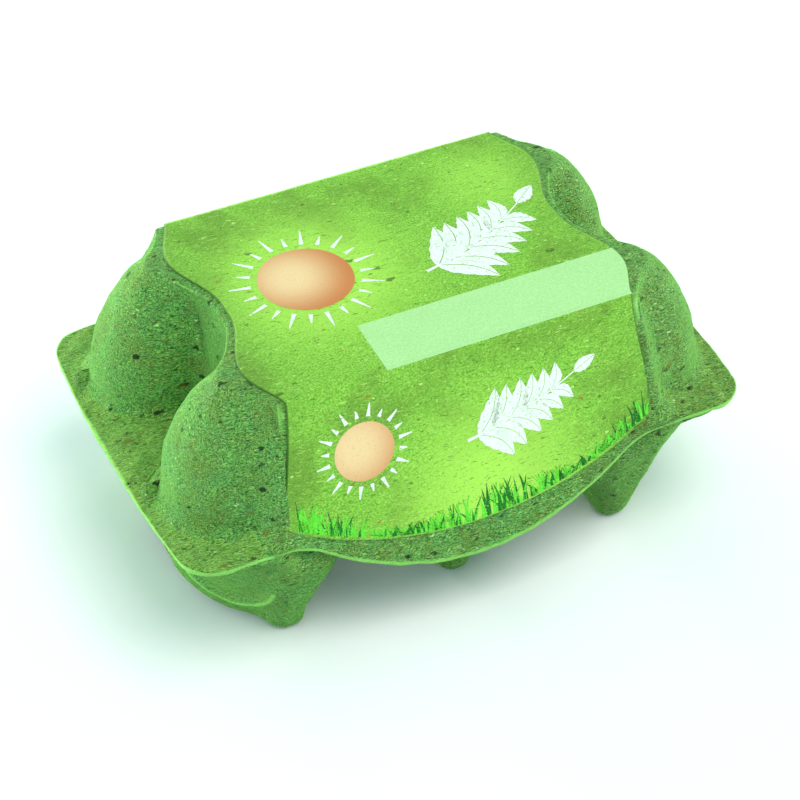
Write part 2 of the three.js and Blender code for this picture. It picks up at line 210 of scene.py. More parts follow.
# Rays in plan for one quarter, mirrored round the whole: straight ones on the panels, a fan on the ends.
def makeRays():
    panel, outer, inner, inset = (lidMesh[key] for key in ("panel", "outer", "inner", "inset"))
    x = np.linspace(0, flap["start"], panel)
    step = np.arange(outer + inner + 1)
    y = np.where(step < outer, lid["halfY"] - (lid["halfY"] - dome["y"]) * step / outer,
                 dome["y"] * (1 - (step - outer) / inner))
    outward = np.clip((y - dome["y"]) / (lid["halfY"] - dome["y"]), 0, 1)
    angle = np.where(y > dome["y"], np.pi / 2 * outward ** 1.3, -0.61 * np.sin(np.pi * y / dome["y"]))
    edgeX = lid["halfX"] + lid["lobe"] * lobe(y) * 0.8
    rays = {
        "x": np.concatenate([x, edgeX - inset * np.cos(angle)]),
        "y": np.concatenate([np.full(panel, lid["halfY"] - inset), y - inset * np.sin(angle)]),
        "angle": np.concatenate([np.full(panel, np.pi / 2), angle]),
        "valley": np.concatenate([np.full(panel, -1.0), np.where(y < dome["y"], y / dome["y"], -1.0)]),
    }
    last = panel + outer + inner
    down = np.arange(last, 0, -1)
    up = np.arange(0, last)
    order = np.concatenate([up, down, up, down])
    rays = {key: value[order] for key, value in rays.items()}
    rays["signX"] = np.repeat([1, 1, -1, -1], last)
    rays["signY"] = np.repeat([-1, 1, 1, -1], last)
    rays["front"] = rays["signY"] < 0
    return rays


# Distance along each ray at which the section's distance turns positive, by halving.
def crossRays(rays, section, farthest=60.0, halvings=34):
    low = np.zeros(len(rays["x"]))
    high = np.full(len(rays["x"]), farthest)
    for _ in range(halvings):
        mid = (low + high) / 2
        inside = section(rays["x"] + np.cos(rays["angle"]) * mid, rays["y"] + np.sin(rays["angle"]) * mid) < 0
        low = np.where(inside, mid, low)
        high = np.where(inside, high, mid)
    return (low + high) / 2


def ringPoints(rays, reach, z):
    x = rays["signX"] * (rays["x"] + np.cos(rays["angle"]) * reach)
    y = rays["signY"] * (rays["y"] + np.sin(rays["angle"]) * reach)
    return np.stack([x, y, np.broadcast_to(z, x.shape)], axis=-1)


# Height of the lower edge along the front: a parabola that eases into the rim.
def flapEdge(x):
    x = np.abs(x)
    bow = smoothMin(flap["low"] + flap["curve"] * x * x, flap["high"], flap["blend"])
    return bow + flap["lift"] * smoothStep(x, *flap["lifted"])


# The lid is rings of points from its top down the walls, out over the rim, round the edge and in below.
def makeLid():
    rays = makeRays()
    rings = []

    def lidReach(z):
        return crossRays(rays, lambda x, y: lidSection(x, y, z, rays["front"]))

    for turn in np.linspace(0, np.pi / 2, lidMesh["fold"] + 1)[:-1]:
        z = lid["top"] - lid["fold"] * (1 - math.cos(turn))
        inset = lid["fold"] * (1 - math.sin(turn))
        rings.append(ringPoints(rays, lidReach(z) - inset, z))
    for z in np.linspace(lid["top"] - lid["fold"], rim["top"] + rim["fillet"], lidMesh["wall"]):
        rings.append(ringPoints(rays, lidReach(z), z))
    for turn in np.linspace(0, np.pi / 2, lidMesh["fillet"] + 1)[1:]:
        z = rim["top"] + rim["fillet"] * (1 - math.sin(turn))
        reach = lidReach(z)
        x = rays["x"] + np.cos(rays["angle"]) * reach
        room = np.clip(paper["low"] + paper["curve"] * x * x - rim["top"] - 0.3, 0, rim["fillet"])
        radius = np.where(rays["front"], np.where(x < flap["start"] + 0.1, 0, room), rim["fillet"])
        outset = radius - np.sqrt(np.maximum(radius ** 2 - np.maximum(radius - (z - rim["top"]), 0) ** 2, 0))
        rings.append(ringPoints(rays, reach + outset, z))
    # The rim's edge: in front it bends down into the flap
    edge = ringPoints(rays, crossRays(rays, rimSection), rim["top"])
    spread = rays["valley"] >= 0
    edge[spread, 1] = (rays["signY"] * rim["valleyEnd"] * rays["valley"])[spread]
    edge[spread, 0] = (rays["signX"] * (rim["halfX"] - rim["bow"] * (edge[:, 1] / rim["halfY"]) ** 2))[spread]
    front = rays["front"] & (np.abs(edge[:, 0]) < flap["end"])
    low = np.where(front, flapEdge(edge[:, 0]), rim["under"])
    edge[:, 2] = low + rim["top"] - rim["under"] - 0.1
    rimShare = np.where(front, smoothStep(np.abs(edge[:, 0]), *flap["turns"]), 1.0)
    onPanel = -panelFace(edge[:, 2])
    edge[:, 1] = np.where(front, onPanel + (edge[:, 1] - onPanel) * rimShare, edge[:, 1])
    start = rings[-1].copy()
    for share in np.linspace(0, 1, lidMesh["rim"] + 1)[1:]:
        rings.append(start + (edge - start) * share)
    edgeRow = len(rings) - 1
    tangent = np.roll(edge, -1, axis=0) - np.roll(edge, 1, axis=0)
    out = np.stack([tangent[:, 1], -tangent[:, 0], np.zeros(len(edge))], axis=-1)
    out /= np.linalg.norm(out, axis=1, keepdims=True)
    # Hang is 1 where the edge is the flap's and 0 where it is the rim's
    hang = np.where(front, 1 - smoothStep(np.abs(edge[:, 0]), *flap["hangs"]), 0.0)
    for move, rise in ((0.1, 0.8), (0.0, 0.35), (-0.35, 0.0), (-1.0, 0.05), (-flap["thick"], 0.5)):
        ring = edge + out * move
        ring[:, 2] = low + rise * (hang if move < -0.5 else 1.0)
        rings.append(ring)
    # Behind the edge the rings go up the flap's back, or inwards under the rim
    inner = rings[-1]
    back = inner - out * (2.0 * (1 - hang))[:, None]
    back[:, 2] = rim["under"]
    back[:, 1] += (rim["under"] - low) * lid["draft"] * hang
    rings += [inner + (back - inner) * share for share in (0.25, 0.5, 0.75, 1.0)]
    rings.append(back * np.array([0.8, 0.8, 1.0]))
    points = np.concatenate(rings)
    count = len(edge)
    faces = gridFaces(len(rings), count, closed=True)
    # Beside the label the fold between rim and flap runs out softly
    grid = points.reshape(len(rings), count, 3)
    x, y, z = (grid[..., k] for k in range(3))
    belowPaper = paper["low"] + paper["curve"] * x * x - z
    beside = smoothStep(np.abs(x), *flap["softStart"]) * (1 - smoothStep(np.abs(x), *flap["softEnd"]))
    soft = beside * (y < -40) * smoothStep(belowPaper, 0.2, 1.0)
    soft[edgeRow - 1:] = 0
    for _ in range(flap["softRounds"]):
        around = sum(np.roll(grid, step, axis=axis) for axis in (1, 0) for step in (1, -1))
        grid += soft[..., None] * (around / 4 - grid)
    # The left rear dome's shoulder is pressed in a little
    away = np.linalg.norm(points - np.array(lid["dentAt"]), axis=1)
    points[:, :2] += np.array(lid["dentPush"]) * np.exp(-(away / lid["dentRadius"]) ** 2)[:, None]
    # The top reaches a little further at the rear
    y, z = points[:, 1], points[:, 2]
    points[:, 1] += lid["rearLean"] * smoothStep(y, *lid["rearDepth"]) * smoothStep(z, *lid["rearHeight"])
    # The rim's edge gets a painted highlight, and the flat top under the label is even
    ridge = ridges(points, faces)
    ridge[edgeRow * count:(edgeRow + 3) * count] += rim["wear"]
    uneven = unevenPulp(points, broad=0.1, fine=0.045, fineSize=2.6, seed=3)
    calm = smoothStep(points[:, 2], lid["top"] - 0.4, lid["top"])
    points = holdSize(points + vertexNormals(points, faces) * (uneven * (1 - calm))[:, None])
    # Each ring is the same left and right, so top and bottom are closed with quads across and two triangles
    i = np.arange(1, count // 2 - 1)
    strip = np.stack([i, i + 1, count - i - 1, count - i], axis=-1)
    tips = np.array([[0, 1, count - 1], [count // 2 - 1, count // 2, count // 2 + 1]])
    low = (len(rings) - 1) * count
    made = makeMesh("lid", points, np.concatenate([faces, strip, strip[:, ::-1] + low]),
                    np.concatenate([tips, tips[:, ::-1] + low]))
    return keepRidges(made, ridge)


# Small lugs on the rim at the outer end of each dome

lug = {"start": 66.0, "length": 6.9, "back": 7.7, "wide": 6.0, "rise": 2.6, "crest": 0.08, "roundPower": 6,
       "sunk": 0.6, "across": 14, "along": 20}


# Four wedges: each rises steeply to a crest and falls away towards the front, with a rounded outer end.
def makeLugs():
    s, t = np.meshgrid(np.linspace(0, 1, lug["across"]), np.linspace(0, 1, lug["along"]), indexing="ij")
    fall = 1 - smoothStep(t, lug["crest"], 1.0)
    rise = lug["rise"] * np.minimum(t / lug["crest"], 1) * fall * (1 - s ** lug["roundPower"]) ** 0.5
    points, faces = [], []
    for signX in (-1, 1):
        for row in (-dome["y"], dome["y"]):
            x = signX * (lug["start"] + lug["length"] * s)
            top = np.stack([x, row + lug["back"] - lug["wide"] * t, rim["top"] - 0.05 + rise], axis=-1)
            low = top.copy()
            low[..., 2] = rim["top"] - lug["sunk"]
            both = sheetFaces(*s.shape, first=sum(len(p) for p in points))
            points.append(np.concatenate([top.reshape(-1, 3), low.reshape(-1, 3)]))
            faces.append(both if signX > 0 else both[:, ::-1])
    points, faces = np.concatenate(points), np.concatenate(faces)
    made = makeMesh("lugs", points + 0.04 * lumps(points, 2.2, 8)[:, None], faces)
    return keepRidges(made, ridges(points, faces))


# Tray: a surface net round a field, because its cups and feet fork

tray = {"top": 37.15, "full": 37.0, "halfX": 70.3, "halfY": 47.0, "footX": 62.4, "footY": 36.0,
        "corner": 21.7, "footCorner": 31.5, "plateCorner": 11.0, "plateLow": 35.7, "cupX": 47.0, "cupY": 16.4,
        "gap": 1.3, "gapLess": 5.0, "gapEnds": (42.0, 53.0),
        "netX": 73.6, "netY": 48.8, "netTop": 38.5, "pitch": 0.8}
# Reach of a cup sideways, across and down from the middle of its mouth, and the power of its rounding.
# A corner cup turns from the first of its two forms, towards the middle, into the second.
middleCup = np.array([30.4, 29.8, 33.0, 2.19])
cornerCup = np.array([[21.1, 29.1, 30.9, 2.56], [32.2, 30.9, 36.8, 2.47]])
# Half width and depth are given at the sole and at the rim, and blend on the inner and the outer side
foot = {"at": 44.3, "half": (3.9, 4.1), "depth": (13.8, 23.9), "round": 3.6, "blend": (4.6, 6.5), "sole": 2.6,
        "proud": 0.3}
# A circle on the wall at each corner, by its middle and radius; a lip stands along its lower half
lip = {"x": 57.3, "y": 27.9, "aside": 1.5, "height": 21.5, "radius": 12.6, "stands": 0.9, "hollow": 0.8}


# Value between a pair, by a share from 0 to 1.
def between(pair, share):
    return pair[0] + (pair[1] - pair[0]) * share


# Rough distance from a rectangle with rounded corners, in plan.
def plateField(x, y, halfX, halfY, corner):
    dx = np.abs(x) - (halfX - corner)
    dy = np.abs(y) - (halfY - corner)
    return np.hypot(np.maximum(dx, 0), np.maximum(dy, 0)) + np.minimum(np.maximum(dx, dy), 0) - corner


# Rough distance from the six round cups, joined.
def cupField(x, y, z):
    near = None
    for column in (-1, 0, 1):
        along = (x - column * tray["cupX"]) * (column or 1)
        turn = smoothStep(along, -10, 6)
        reach, across, down, power = middleCup
        if column:
            reach = np.where(along > 0, cornerCup[1, 0], cornerCup[0, 0])
            across, down, power = (between(cornerCup[:, k], turn) for k in (1, 2, 3))
        along = np.abs(along) / reach
        deep = np.maximum(tray["full"] - z, 0) / down
        for row in (-1, 1):
            aside = np.abs(y - row * tray["cupY"]) / across
            cup = ((along ** power + aside ** power + deep ** power) ** (1 / power) - 1) * 30
            near = cup if near is None else smoothMin(near, cup, 3.0)
    return near


def wallFace(z):
    return tray["footY"] + (tray["halfY"] - tray["footY"]) * z / tray["full"]


# Rough distance from the sloping walls that cut the cups off.
def wallField(x, y, z):
    share = z / tray["full"]
    halfX = between((tray["footX"], tray["halfX"]), share)
    return plateField(x, y, halfX, wallFace(z), between((tray["footCorner"], tray["corner"]), share)) * 0.96


# How far outside the lip's circle a place lies, measured along the wall at a corner.
def lipPlace(x, y, z):
    along = (np.abs(x) - lip["x"]) * 0.62 - (np.abs(y) - lip["y"]) * 0.78
    return np.hypot(along + lip["aside"], z - lip["height"]) - lip["radius"]


# Rough distance from the tray's outside: cups inside walls, with a plate and feet, cut back behind the flap.
def trayField(x, y, z):
    share = z / tray["full"]
    face = wallFace(z)
    near = -smoothMin(-cupField(x, y, z), -wallField(x, y, z), 1.2)
    # Above the lip at each corner the wall is scooped out a little
    out = lipPlace(x, y, z)
    low = smoothStep(z, 21, 15) * smoothStep(np.abs(x), 46, 50)
    scoop = lip["hollow"] * np.exp(-((out + 4.5) / 3) ** 2)
    near = near + low * (scoop - lip["stands"] * np.exp(-(out / 1.3) ** 2))
    halfX = between(foot["half"], share)
    depth = between(foot["depth"], share) / 2
    for column in (-1, 0, 1):
        along = x - column * foot["at"]
        block = plateField(along, np.abs(y) - face + depth, halfX, depth, foot["round"])
        blend = between(foot["blend"], smoothStep(along * column, -2, 2))
        near = smoothMin(near, -smoothMin(-block, z, foot["sole"]), blend)
    near = np.maximum(np.maximum(near, np.abs(y) - face - foot["proud"]), -z)
    shelf = plateField(x, y, tray["halfX"], tray["halfY"] - 0.4, tray["plateCorner"])
    near = smoothMin(near, np.maximum(shelf, tray["plateLow"] - z), 1.5)
    # Behind the flap the tray is cut back along the flap's slope, less and less towards its ends
    pocket = y + panelFace(z) - flap["thick"] - tray["gap"]
    pocket = pocket + tray["gapLess"] * smoothStep(np.abs(x), *tray["gapEnds"])
    near = -smoothMin(-near, pocket, 1.0)
    return np.maximum(near, z - tray["top"])


# Points and quads of the surface where a field on a grid is zero: one point in each cell that it crosses,
# at the mean of the places where the field changes sign along the grid's lines.
def surfaceNet(field, origin, pitch):
    cells = np.array(field.shape) - 1
    total = np.zeros((cells.prod(), 3))
    hits = np.zeros(cells.prod())
    flat = lambda index: (index[:, 0] * cells[1] + index[:, 1]) * cells[2] + index[:, 2]
    quads = []
    for axis in range(3):
        a = np.take(field, np.arange(cells[axis]), axis=axis)
        b = np.take(field, np.arange(1, cells[axis] + 1), axis=axis)
        index = np.argwhere((a < 0) != (b < 0))
        low, high = a[tuple(index.T)], b[tuple(index.T)]
        place = index.astype(float)
        place[:, axis] += low / (low - high)
        j, k = (axis + 1) % 3, (axis + 2) % 3
        inside = ((index[:, [j, k]] > 0) & (index[:, [j, k]] < cells[[j, k]])).all(axis=1)
        index, place, low = index[inside], place[inside], low[inside]
        around = []
        for stepJ, stepK in ((1, 1), (0, 1), (0, 0), (1, 0)):
            cell = index.copy()
            cell[:, j] -= stepJ
            cell[:, k] -= stepK
            around.append(flat(cell))
            np.add.at(total, around[-1], place)
            np.add.at(hits, around[-1], 1)
        quad = np.stack(around, axis=-1)
        quads.append(np.where((low < 0)[:, None], quad, quad[:, ::-1]))
    used = hits > 0
    number = np.cumsum(used) - 1
    return total[used] / hits[used][:, None] * pitch + origin, number[np.concatenate(quads)]


def makeTray():
    pitch = tray["pitch"]
    x = np.arange(-tray["netX"], tray["netX"] + 0.1, pitch)
    y = np.arange(-tray["netY"], tray["netY"] + 0.1, pitch)
    z = np.arange(-pitch + 1e-3, tray["netTop"], pitch)
    gx, gy, gz = np.meshgrid(x, y, z, indexing="ij")
    points, quads = surfaceNet(trayField(gx, gy, gz), np.array([x[0], y[0], z[0]]), pitch)
    # The lip gets a painted highlight like a ridge, and below it the wall gets painted shade as dark as a
    # hollow
    x, y, z = points.T
    out = lipPlace(x, y, z)
    corner = smoothStep(z, 21, 17) * smoothStep(np.abs(x), 46, 49)
    worn = 1.2 * np.exp(-(out / 0.9) ** 2) - 1.2 * smoothStep(out, 1.0, 2.2)
    ridge = ridges(points, quads) + corner * worn
    # The soles of the feet are even
    uneven = unevenPulp(points, broad=0.12, fine=0.05, fineSize=2.8, seed=5) * smoothStep(z, 0.5, 2.0)
    points = holdSize(points + vertexNormals(points, quads) * uneven[:, None])
    points[:, 2] = np.maximum(points[:, 2], 0)
    return keepRidges(makeMesh("tray", points, quads), ridge)


# Paper label: one sheet over the top, folded down over the front

paper = {"halfX": 43.5, "lobe": 5.5, "frontHalfX": 44.2, "flare": 5.1, "flareDepth": 30.0, "widest": 49.0,
         "low": 28.2, "curve": 0.0058, "under": 0.2, "outer": 0.42, "fold": 0.8, "rear": 0.6, "print": 0.03,
         "columns": 150, "topRows": 110, "foldRows": 8, "frontRows": 66}
leanAngle = math.atan2(1, lid["draft"])
foldStart = -lid["halfY"] + paper["fold"] * (1 - math.cos(leanAngle)) / math.sin(leanAngle)
foldLength = leanAngle * (paper["fold"] + 0.4)
topLength = lid["halfY"] + paper["rear"] - foldStart


# Point on the label: u across, v along the sheet from the fold, above 0 on the top and below 0 in front.
def onPaper(u, v, lift):
    u, v = np.broadcast_arrays(np.asarray(u, float), np.asarray(v, float))
    lift = lift + 0.04 * lumps(np.stack([u, v, 0 * u], axis=-1), 16.0, 11)
    turn = np.clip(-v / foldLength, 0, 1) * leanAngle
    down = np.maximum(-v - foldLength, 0)
    radius = paper["fold"] + lift
    y = foldStart + np.maximum(v, 0) - radius * np.sin(turn) - down * math.cos(leanAngle)
    z = lid["top"] - paper["fold"] + radius * np.cos(turn) - down * math.sin(leanAngle)
    return np.stack([u, y, z], axis=-1)


# Half width of the sheet: wavy on the top, flaring downwards in front.
def paperHalf(v):
    top = paper["halfX"] + paper["lobe"] * lobe(foldStart + np.maximum(v, 0))
    down = np.maximum(-v - foldLength, 0) * math.sin(leanAngle)
    front = paper["frontHalfX"] + paper["flare"] * (down / paper["flareDepth"]) ** 1.5
    return np.where(v > -foldLength / 2, top, front)


# Where the sheet ends in front, as a length v: its lower edge is a parabola.
def paperLow(u):
    z = paper["low"] + paper["curve"] * u * u
    return -foldLength - (lid["top"] - z) / math.sin(leanAngle)


# Grid of u and v over the sheet: rows down the top, round the fold and down the front.
def sheetGrid():
    columns = paper["columns"]
    s = np.linspace(-1, 1, columns)
    low = paperLow(s * paper["widest"])
    share = np.linspace(0, 1, paper["frontRows"] + 1)[1:, None]
    v = np.concatenate([
        np.repeat(np.linspace(topLength, 0, paper["topRows"])[:, None], columns, axis=1),
        np.repeat(-foldLength * np.linspace(0, 1, paper["foldRows"] + 1)[1:, None], columns, axis=1),
        -foldLength + share * (low + foldLength)[None, :],
    ])
    return s[None, :] * paperHalf(v), v


def makeLabel():
    u, v = sheetGrid()
    layers = [onPaper(u, v, lift).reshape(-1, 3) for lift in (paper["outer"], paper["under"])]
    return makeMesh("label", np.concatenate(layers), sheetFaces(*u.shape))


# Print on the label: plain shapes of ink, each a thin skin just above the paper

# Places are u across the sheet and v along it from the fold; light is where a disc is lightest
topPrints = {
    "sprig": {"u0": 4.0, "v0": 27.0, "angle": 0.2, "length": 36.0, "bend": 0.45, "leaf": 15.0, "count": 6},
    "sun": {"at": (-22.0, 37.0), "radius": 11.5, "raysFrom": 13.2, "raysTo": 18.5, "rays": 22,
            "light": (-25.0, 5.0, 72.3)},
}
frontPrints = {
    "sprig": {"u0": -2.0, "v0": -25.0, "angle": 0.15, "length": 31.0, "bend": 0.3, "leaf": 12.0, "count": 6},
    "sun": {"at": (-27.0, -19.0), "radius": 7.5, "raysFrom": 8.8, "raysTo": 12.2, "rays": 20,
            "light": (-29.0, -39.0, 56.0)},
}
grass = {"deep": 150, "bright": 220, "reach": 46.0, "height": (2.5, 8.5), "half": (0.25, 0.6)}


# One mesh from patches, each a grid of u and v.
def makePrint(name, patches):
    points, faces, first = [], [], 0
    for u, v in patches:
        points.append(onPaper(u, v, paper["outer"] + paper["print"]).reshape(-1, 3))
        faces.append(gridFaces(*u.shape, first=first))
        first += u.size
    points, faces = np.concatenate(points), np.concatenate(faces)
    flat = np.concatenate([np.stack([u.ravel(), v.ravel()], axis=-1) for u, v in patches])
    # Faces that run the other way round on the sheet are turned over
    a, b, c = (flat[faces[:, k]] for k in (0, 1, 2))
    turned = (b - a)[:, 0] * (c - a)[:, 1] - (b - a)[:, 1] * (c - a)[:, 0] < 0
    faces[turned] = faces[turned][:, ::-1]
    return makeMesh(name, points, faces)


# Two halves of a pointed leaf, with a gap for its vein.
def leafPatches(u0, v0, angle, length, width, bend, seed):
    s = np.linspace(0, 1, 26)[:, None]
    outline = width * np.sin(np.pi * s ** 0.8) ** 0.9 * (1 + 0.05 * np.sin(seed * 7 + s * 31))
    turn = angle + bend * (s - 0.5)
    u = u0 + length * s * np.cos(angle) - bend * length * 0.25 * np.sin(np.pi * s) * np.sin(angle)
    v = v0 + length * s * np.sin(angle) + bend * length * 0.25 * np.sin(np.pi * s) * np.cos(angle)
    made = []
    for side in (-1, 1):
        t = np.linspace(0, 1, 4)[None, :]
        out = side * (0.035 * width + (outline - 0.035 * width).clip(0) * t)
        made.append((u - out * np.sin(turn), v + out * np.cos(turn)))
    return made


# A curved stem with pairs of leaves that get smaller towards its tip.
def sprigPatches(u0, v0, angle, length, bend, leaf, count):
    s = np.linspace(0, 1, 40)
    turn = angle + bend * s
    u = u0 + np.cumsum(np.cos(turn)) * length / 40
    v = v0 + np.cumsum(np.sin(turn)) * length / 40
    half = 0.4 * (1 - 0.6 * s)
    t = np.array([-1.0, 1.0])[None, :]
    aside = t * half[:, None]
    made = [(u[:, None] - aside * np.sin(turn)[:, None], v[:, None] + aside * np.cos(turn)[:, None])]
    for k in range(count):
        i = int(39 * (0.12 + 0.8 * k / count))
        size = leaf * (1 - 0.5 * k / count)
        for side in (-1, 1):
            made += leafPatches(u[i], v[i], turn[i] + side * 0.95, size, size * 0.23, -side * 0.5, k + side)
    made += leafPatches(u[-1], v[-1], turn[-1], leaf * 0.55, leaf * 0.14, 0.0, 3)
    return made


def discPatch(u0, v0, radius):
    r, a = np.meshgrid(np.linspace(0, radius, 14), np.linspace(0, 2 * np.pi, 97), indexing="ij")
    return u0 + r * np.cos(a), v0 + r * np.sin(a)


# Short tapered strokes round a disc, long and short by turns.
def rayPatches(u0, v0, inner, outer, count):
    made = []
    for k in range(count):
        a = 2 * np.pi * (k + 0.3) / count
        far = outer if k % 2 == 0 else inner + (outer - inner) * 0.6
        r = np.linspace(inner, far, 6)[:, None]
        half = 0.55 * (1 - 0.75 * (r - inner) / (far - inner)) * np.array([-1.0, 1.0])[None, :]
        made.append((u0 + r * np.cos(a) - half * np.sin(a), v0 + r * np.sin(a) + half * np.cos(a)))
    return made


# Blades of grass that stand along the lower edge of the front.
def grassPatches(count, seed):
    rng = np.random.default_rng(seed)
    made = []
    for _ in range(count):
        u0 = rng.uniform(-grass["reach"], grass["reach"])
        height = rng.uniform(*grass["height"]) * (0.75 + 0.35 * np.sin(u0 * 0.13 + 1.0))
        s = np.linspace(0, 1, 9)[:, None]
        lean = rng.normal(0, 1.6) * s ** 1.8
        half = rng.uniform(*grass["half"]) * (1 - s ** 1.6) * np.array([-1.0, 1.0])[None, :]
        u = u0 + lean + half
        v = paperLow(u0) + 0.15 + 0.3 * abs(u0) / grass["reach"] + s * height + 0 * half
        v = np.maximum(v, paperLow(u) + 0.1)
        reach = paperHalf(v) - 0.15
        made.append((np.clip(u, -reach, reach), v))
    return made


# The plain strip left for a date: from the middle of the top to its right end, along the fold.
def bandPatch():
    v = np.concatenate([np.linspace(-0.75, 0.4, 12), np.linspace(1.2, 16.2, 20)])
    s, v = np.meshgrid(np.linspace(0, 1, 60), v, indexing="ij")
    left = -19.0 + 0.03 * v
    return left + (paperHalf(v) - 0.12 - left) * s, v


# Materials: nodes that read each piece's own object coordinates, in millimetres

# Linear colour from the usual 0 to 255 scale.
def tone(red, green, blue):
    share = np.array([red, green, blue]) / 255
    return (*np.where(share <= 0.04045, share / 12.92, ((share + 0.055) / 1.055) ** 2.4), 1.0)


def addNode(tree, kind, inputs, pick=0, **settings):
    made = tree.nodes.new("ShaderNode" + kind)
    for key, value in settings.items():
        setattr(made, key, value)
    for key, value in inputs.items():
        if isinstance(value, bpy.types.NodeSocket):
            tree.links.new(value, made.inputs[key])
        else:
            made.inputs[key].default_value = value
    return made.outputs[pick]


def mixTone(tree, share, a, b):
    return addNode(tree, "Mix", {0: share, 6: a, 7: b}, pick=2, data_type="RGBA")


def ramp(tree, value, low, high, toLow=0.0, toHigh=1.0):
    inputs = {0: value, 1: low, 2: high, 3: toLow, 4: toHigh}
    return addNode(tree, "MapRange", inputs, interpolation_type="SMOOTHSTEP")


def sums(tree, kind, a, b):
    return addNode(tree, "Math", {0: a, 1: b}, operation=kind)


# Colour turned to a shade, by a strength where a mask is 1.
def tinted(tree, colour, mask, strength, shade):
    return mixTone(tree, sums(tree, "MULTIPLY", mask, strength), colour, tone(*shade))


def noise(tree, place, scale, detail=2.0, rough=0.5, pick=0):
    inputs = {"Vector": place, "Scale": scale, "Detail": detail, "Roughness": rough}
    return addNode(tree, "TexNoise", inputs, pick=pick)


def millimetres(tree):
    place = addNode(tree, "TexCoord", {}, pick="Object")
    return addNode(tree, "VectorMath", {0: place, 3: 1000.0}, operation="SCALE")


# Places moved about by a noise, so that what is drawn there bends.
def warped(tree, place, scale, amount):
    away = noise(tree, place, scale, 1.0, pick=1)
    away = addNode(tree, "VectorMath", {0: away, 1: (0.5, 0.5, 0.5)}, operation="SUBTRACT")
    return addNode(tree, "VectorMath", {0: away, 1: (amount,) * 3, 2: place}, operation="MULTIPLY_ADD")


# Short threads along one direction: a noise stretched that way and cut off by a ramp.
def fibres(tree, place, turn, long, thin, low, high):
    size = (1 / long, 1 / thin, 1 / thin)
    way = addNode(tree, "Mapping", {"Vector": place, "Rotation": turn, "Scale": size})
    return ramp(tree, noise(tree, way, 1.0, 1.0), low, high)


# Scattered spots: the middles of cells, kept in a share of them and drawn out one way.
def flecks(tree, place, size, radius, share, turn, stretch):
    place = addNode(tree, "Mapping", {"Vector": place, "Rotation": turn, "Scale": (1 / stretch, 1, 1)})
    cell = tree.nodes.new("ShaderNodeTexVoronoi")
    cell.inputs["Scale"].default_value = 1 / size
    tree.links.new(place, cell.inputs["Vector"])
    spot = ramp(tree, cell.outputs["Distance"], radius / size * 0.6, radius / size, 1.0, 0.0)
    parts = addNode(tree, "SeparateColor", {0: cell.outputs["Color"]})
    kept = sums(tree, "LESS_THAN", parts, share)
    return sums(tree, "MULTIPLY", spot, kept)


def newMaterial(name, rough, sheen=0.0, sheenTone=(255, 255, 255), sheenRough=0.35):
    made = bpy.data.materials.new(name)
    made.use_nodes = True
    shader = made.node_tree.nodes["Principled BSDF"]
    shader.inputs["Roughness"].default_value = rough
    shader.inputs["Specular IOR Level"].default_value = 0.25
    shader.inputs["Sheen Weight"].default_value = sheen
    shader.inputs["Sheen Roughness"].default_value = sheenRough
    shader.inputs["Sheen Tint"].default_value = tone(*sheenTone)
    return made, made.node_tree, shader


# Colour and bump joined to the shader.
def joinShader(tree, shader, colour, relief, strength, distance):
    bump = addNode(tree, "Bump", {"Height": relief, "Strength": strength, "Distance": distance})
    tree.links.new(colour, shader.inputs["Base Color"])
    tree.links.new(bump, shader.inputs["Normal"])


# A thread is its turn, cut-off, length, shade and strength.
# A fleck is its cell size, radius, share of cells, shade and strength.
# The tones for level faces, the right-hand end, hollows and the underside are painted light and shade; the
# worn tone is a painted highlight
pulpLook = {
    "rough": 0.95, "sheen": 1.0, "sheenTone": (150, 255, 105), "sheenRough": 0.2,
    "dark": (44, 94, 36), "light": (122, 204, 92), "yellow": (104, 134, 46), "cool": (74, 150, 84),
    "level": (138, 180, 66), "paintedEndShade": (102, 124, 56), "hollow": (44, 84, 32), "under": (48, 84, 28),
    "worn": (160, 236, 112), "meshPerMm": 8.6, "bump": 0.6, "bumpDepth": 0.00012, "threadThin": 0.2,
    "threads": (
        ((0.2, 0.5, 0.4), 0.6, 2.0, (168, 228, 116), 0.6), ((1.1, 0.3, 1.7), 0.61, 2.2, (140, 214, 150), 0.5),
        ((2.4, 0.2, 1.2), 0.62, 2.4, (196, 228, 118), 0.6), ((0.4, 1.3, 2.6), 0.59, 1.8, (34, 72, 30), 0.75),
        ((0.8, 2.1, 0.9), 0.60, 2.2, (28, 62, 28), 0.75), ((1.9, 0.8, 0.1), 0.63, 3.0, (124, 100, 36), 0.7),
        ((1.1, 0.3, 1.7), 0.62, 3.0, (40, 90, 62), 0.6), ((0.2, 0.5, 0.4), 0.68, 5.0, (24, 44, 18), 0.85),
        ((0.8, 2.1, 0.9), 0.69, 6.0, (200, 220, 126), 0.7)),
    "flecks": (
        (2.6, 0.5, 0.32, (34, 52, 22), 0.8), (2.4, 0.5, 0.35, (106, 100, 34), 0.6),
        (1.7, 0.26, 0.4, (24, 40, 16), 0.8), (2.1, 0.26, 0.3, (206, 240, 160), 0.8),
        (4.0, 0.75, 0.5, (20, 32, 14), 0.9), (5.0, 0.9, 0.35, (118, 104, 38), 0.6)),
}


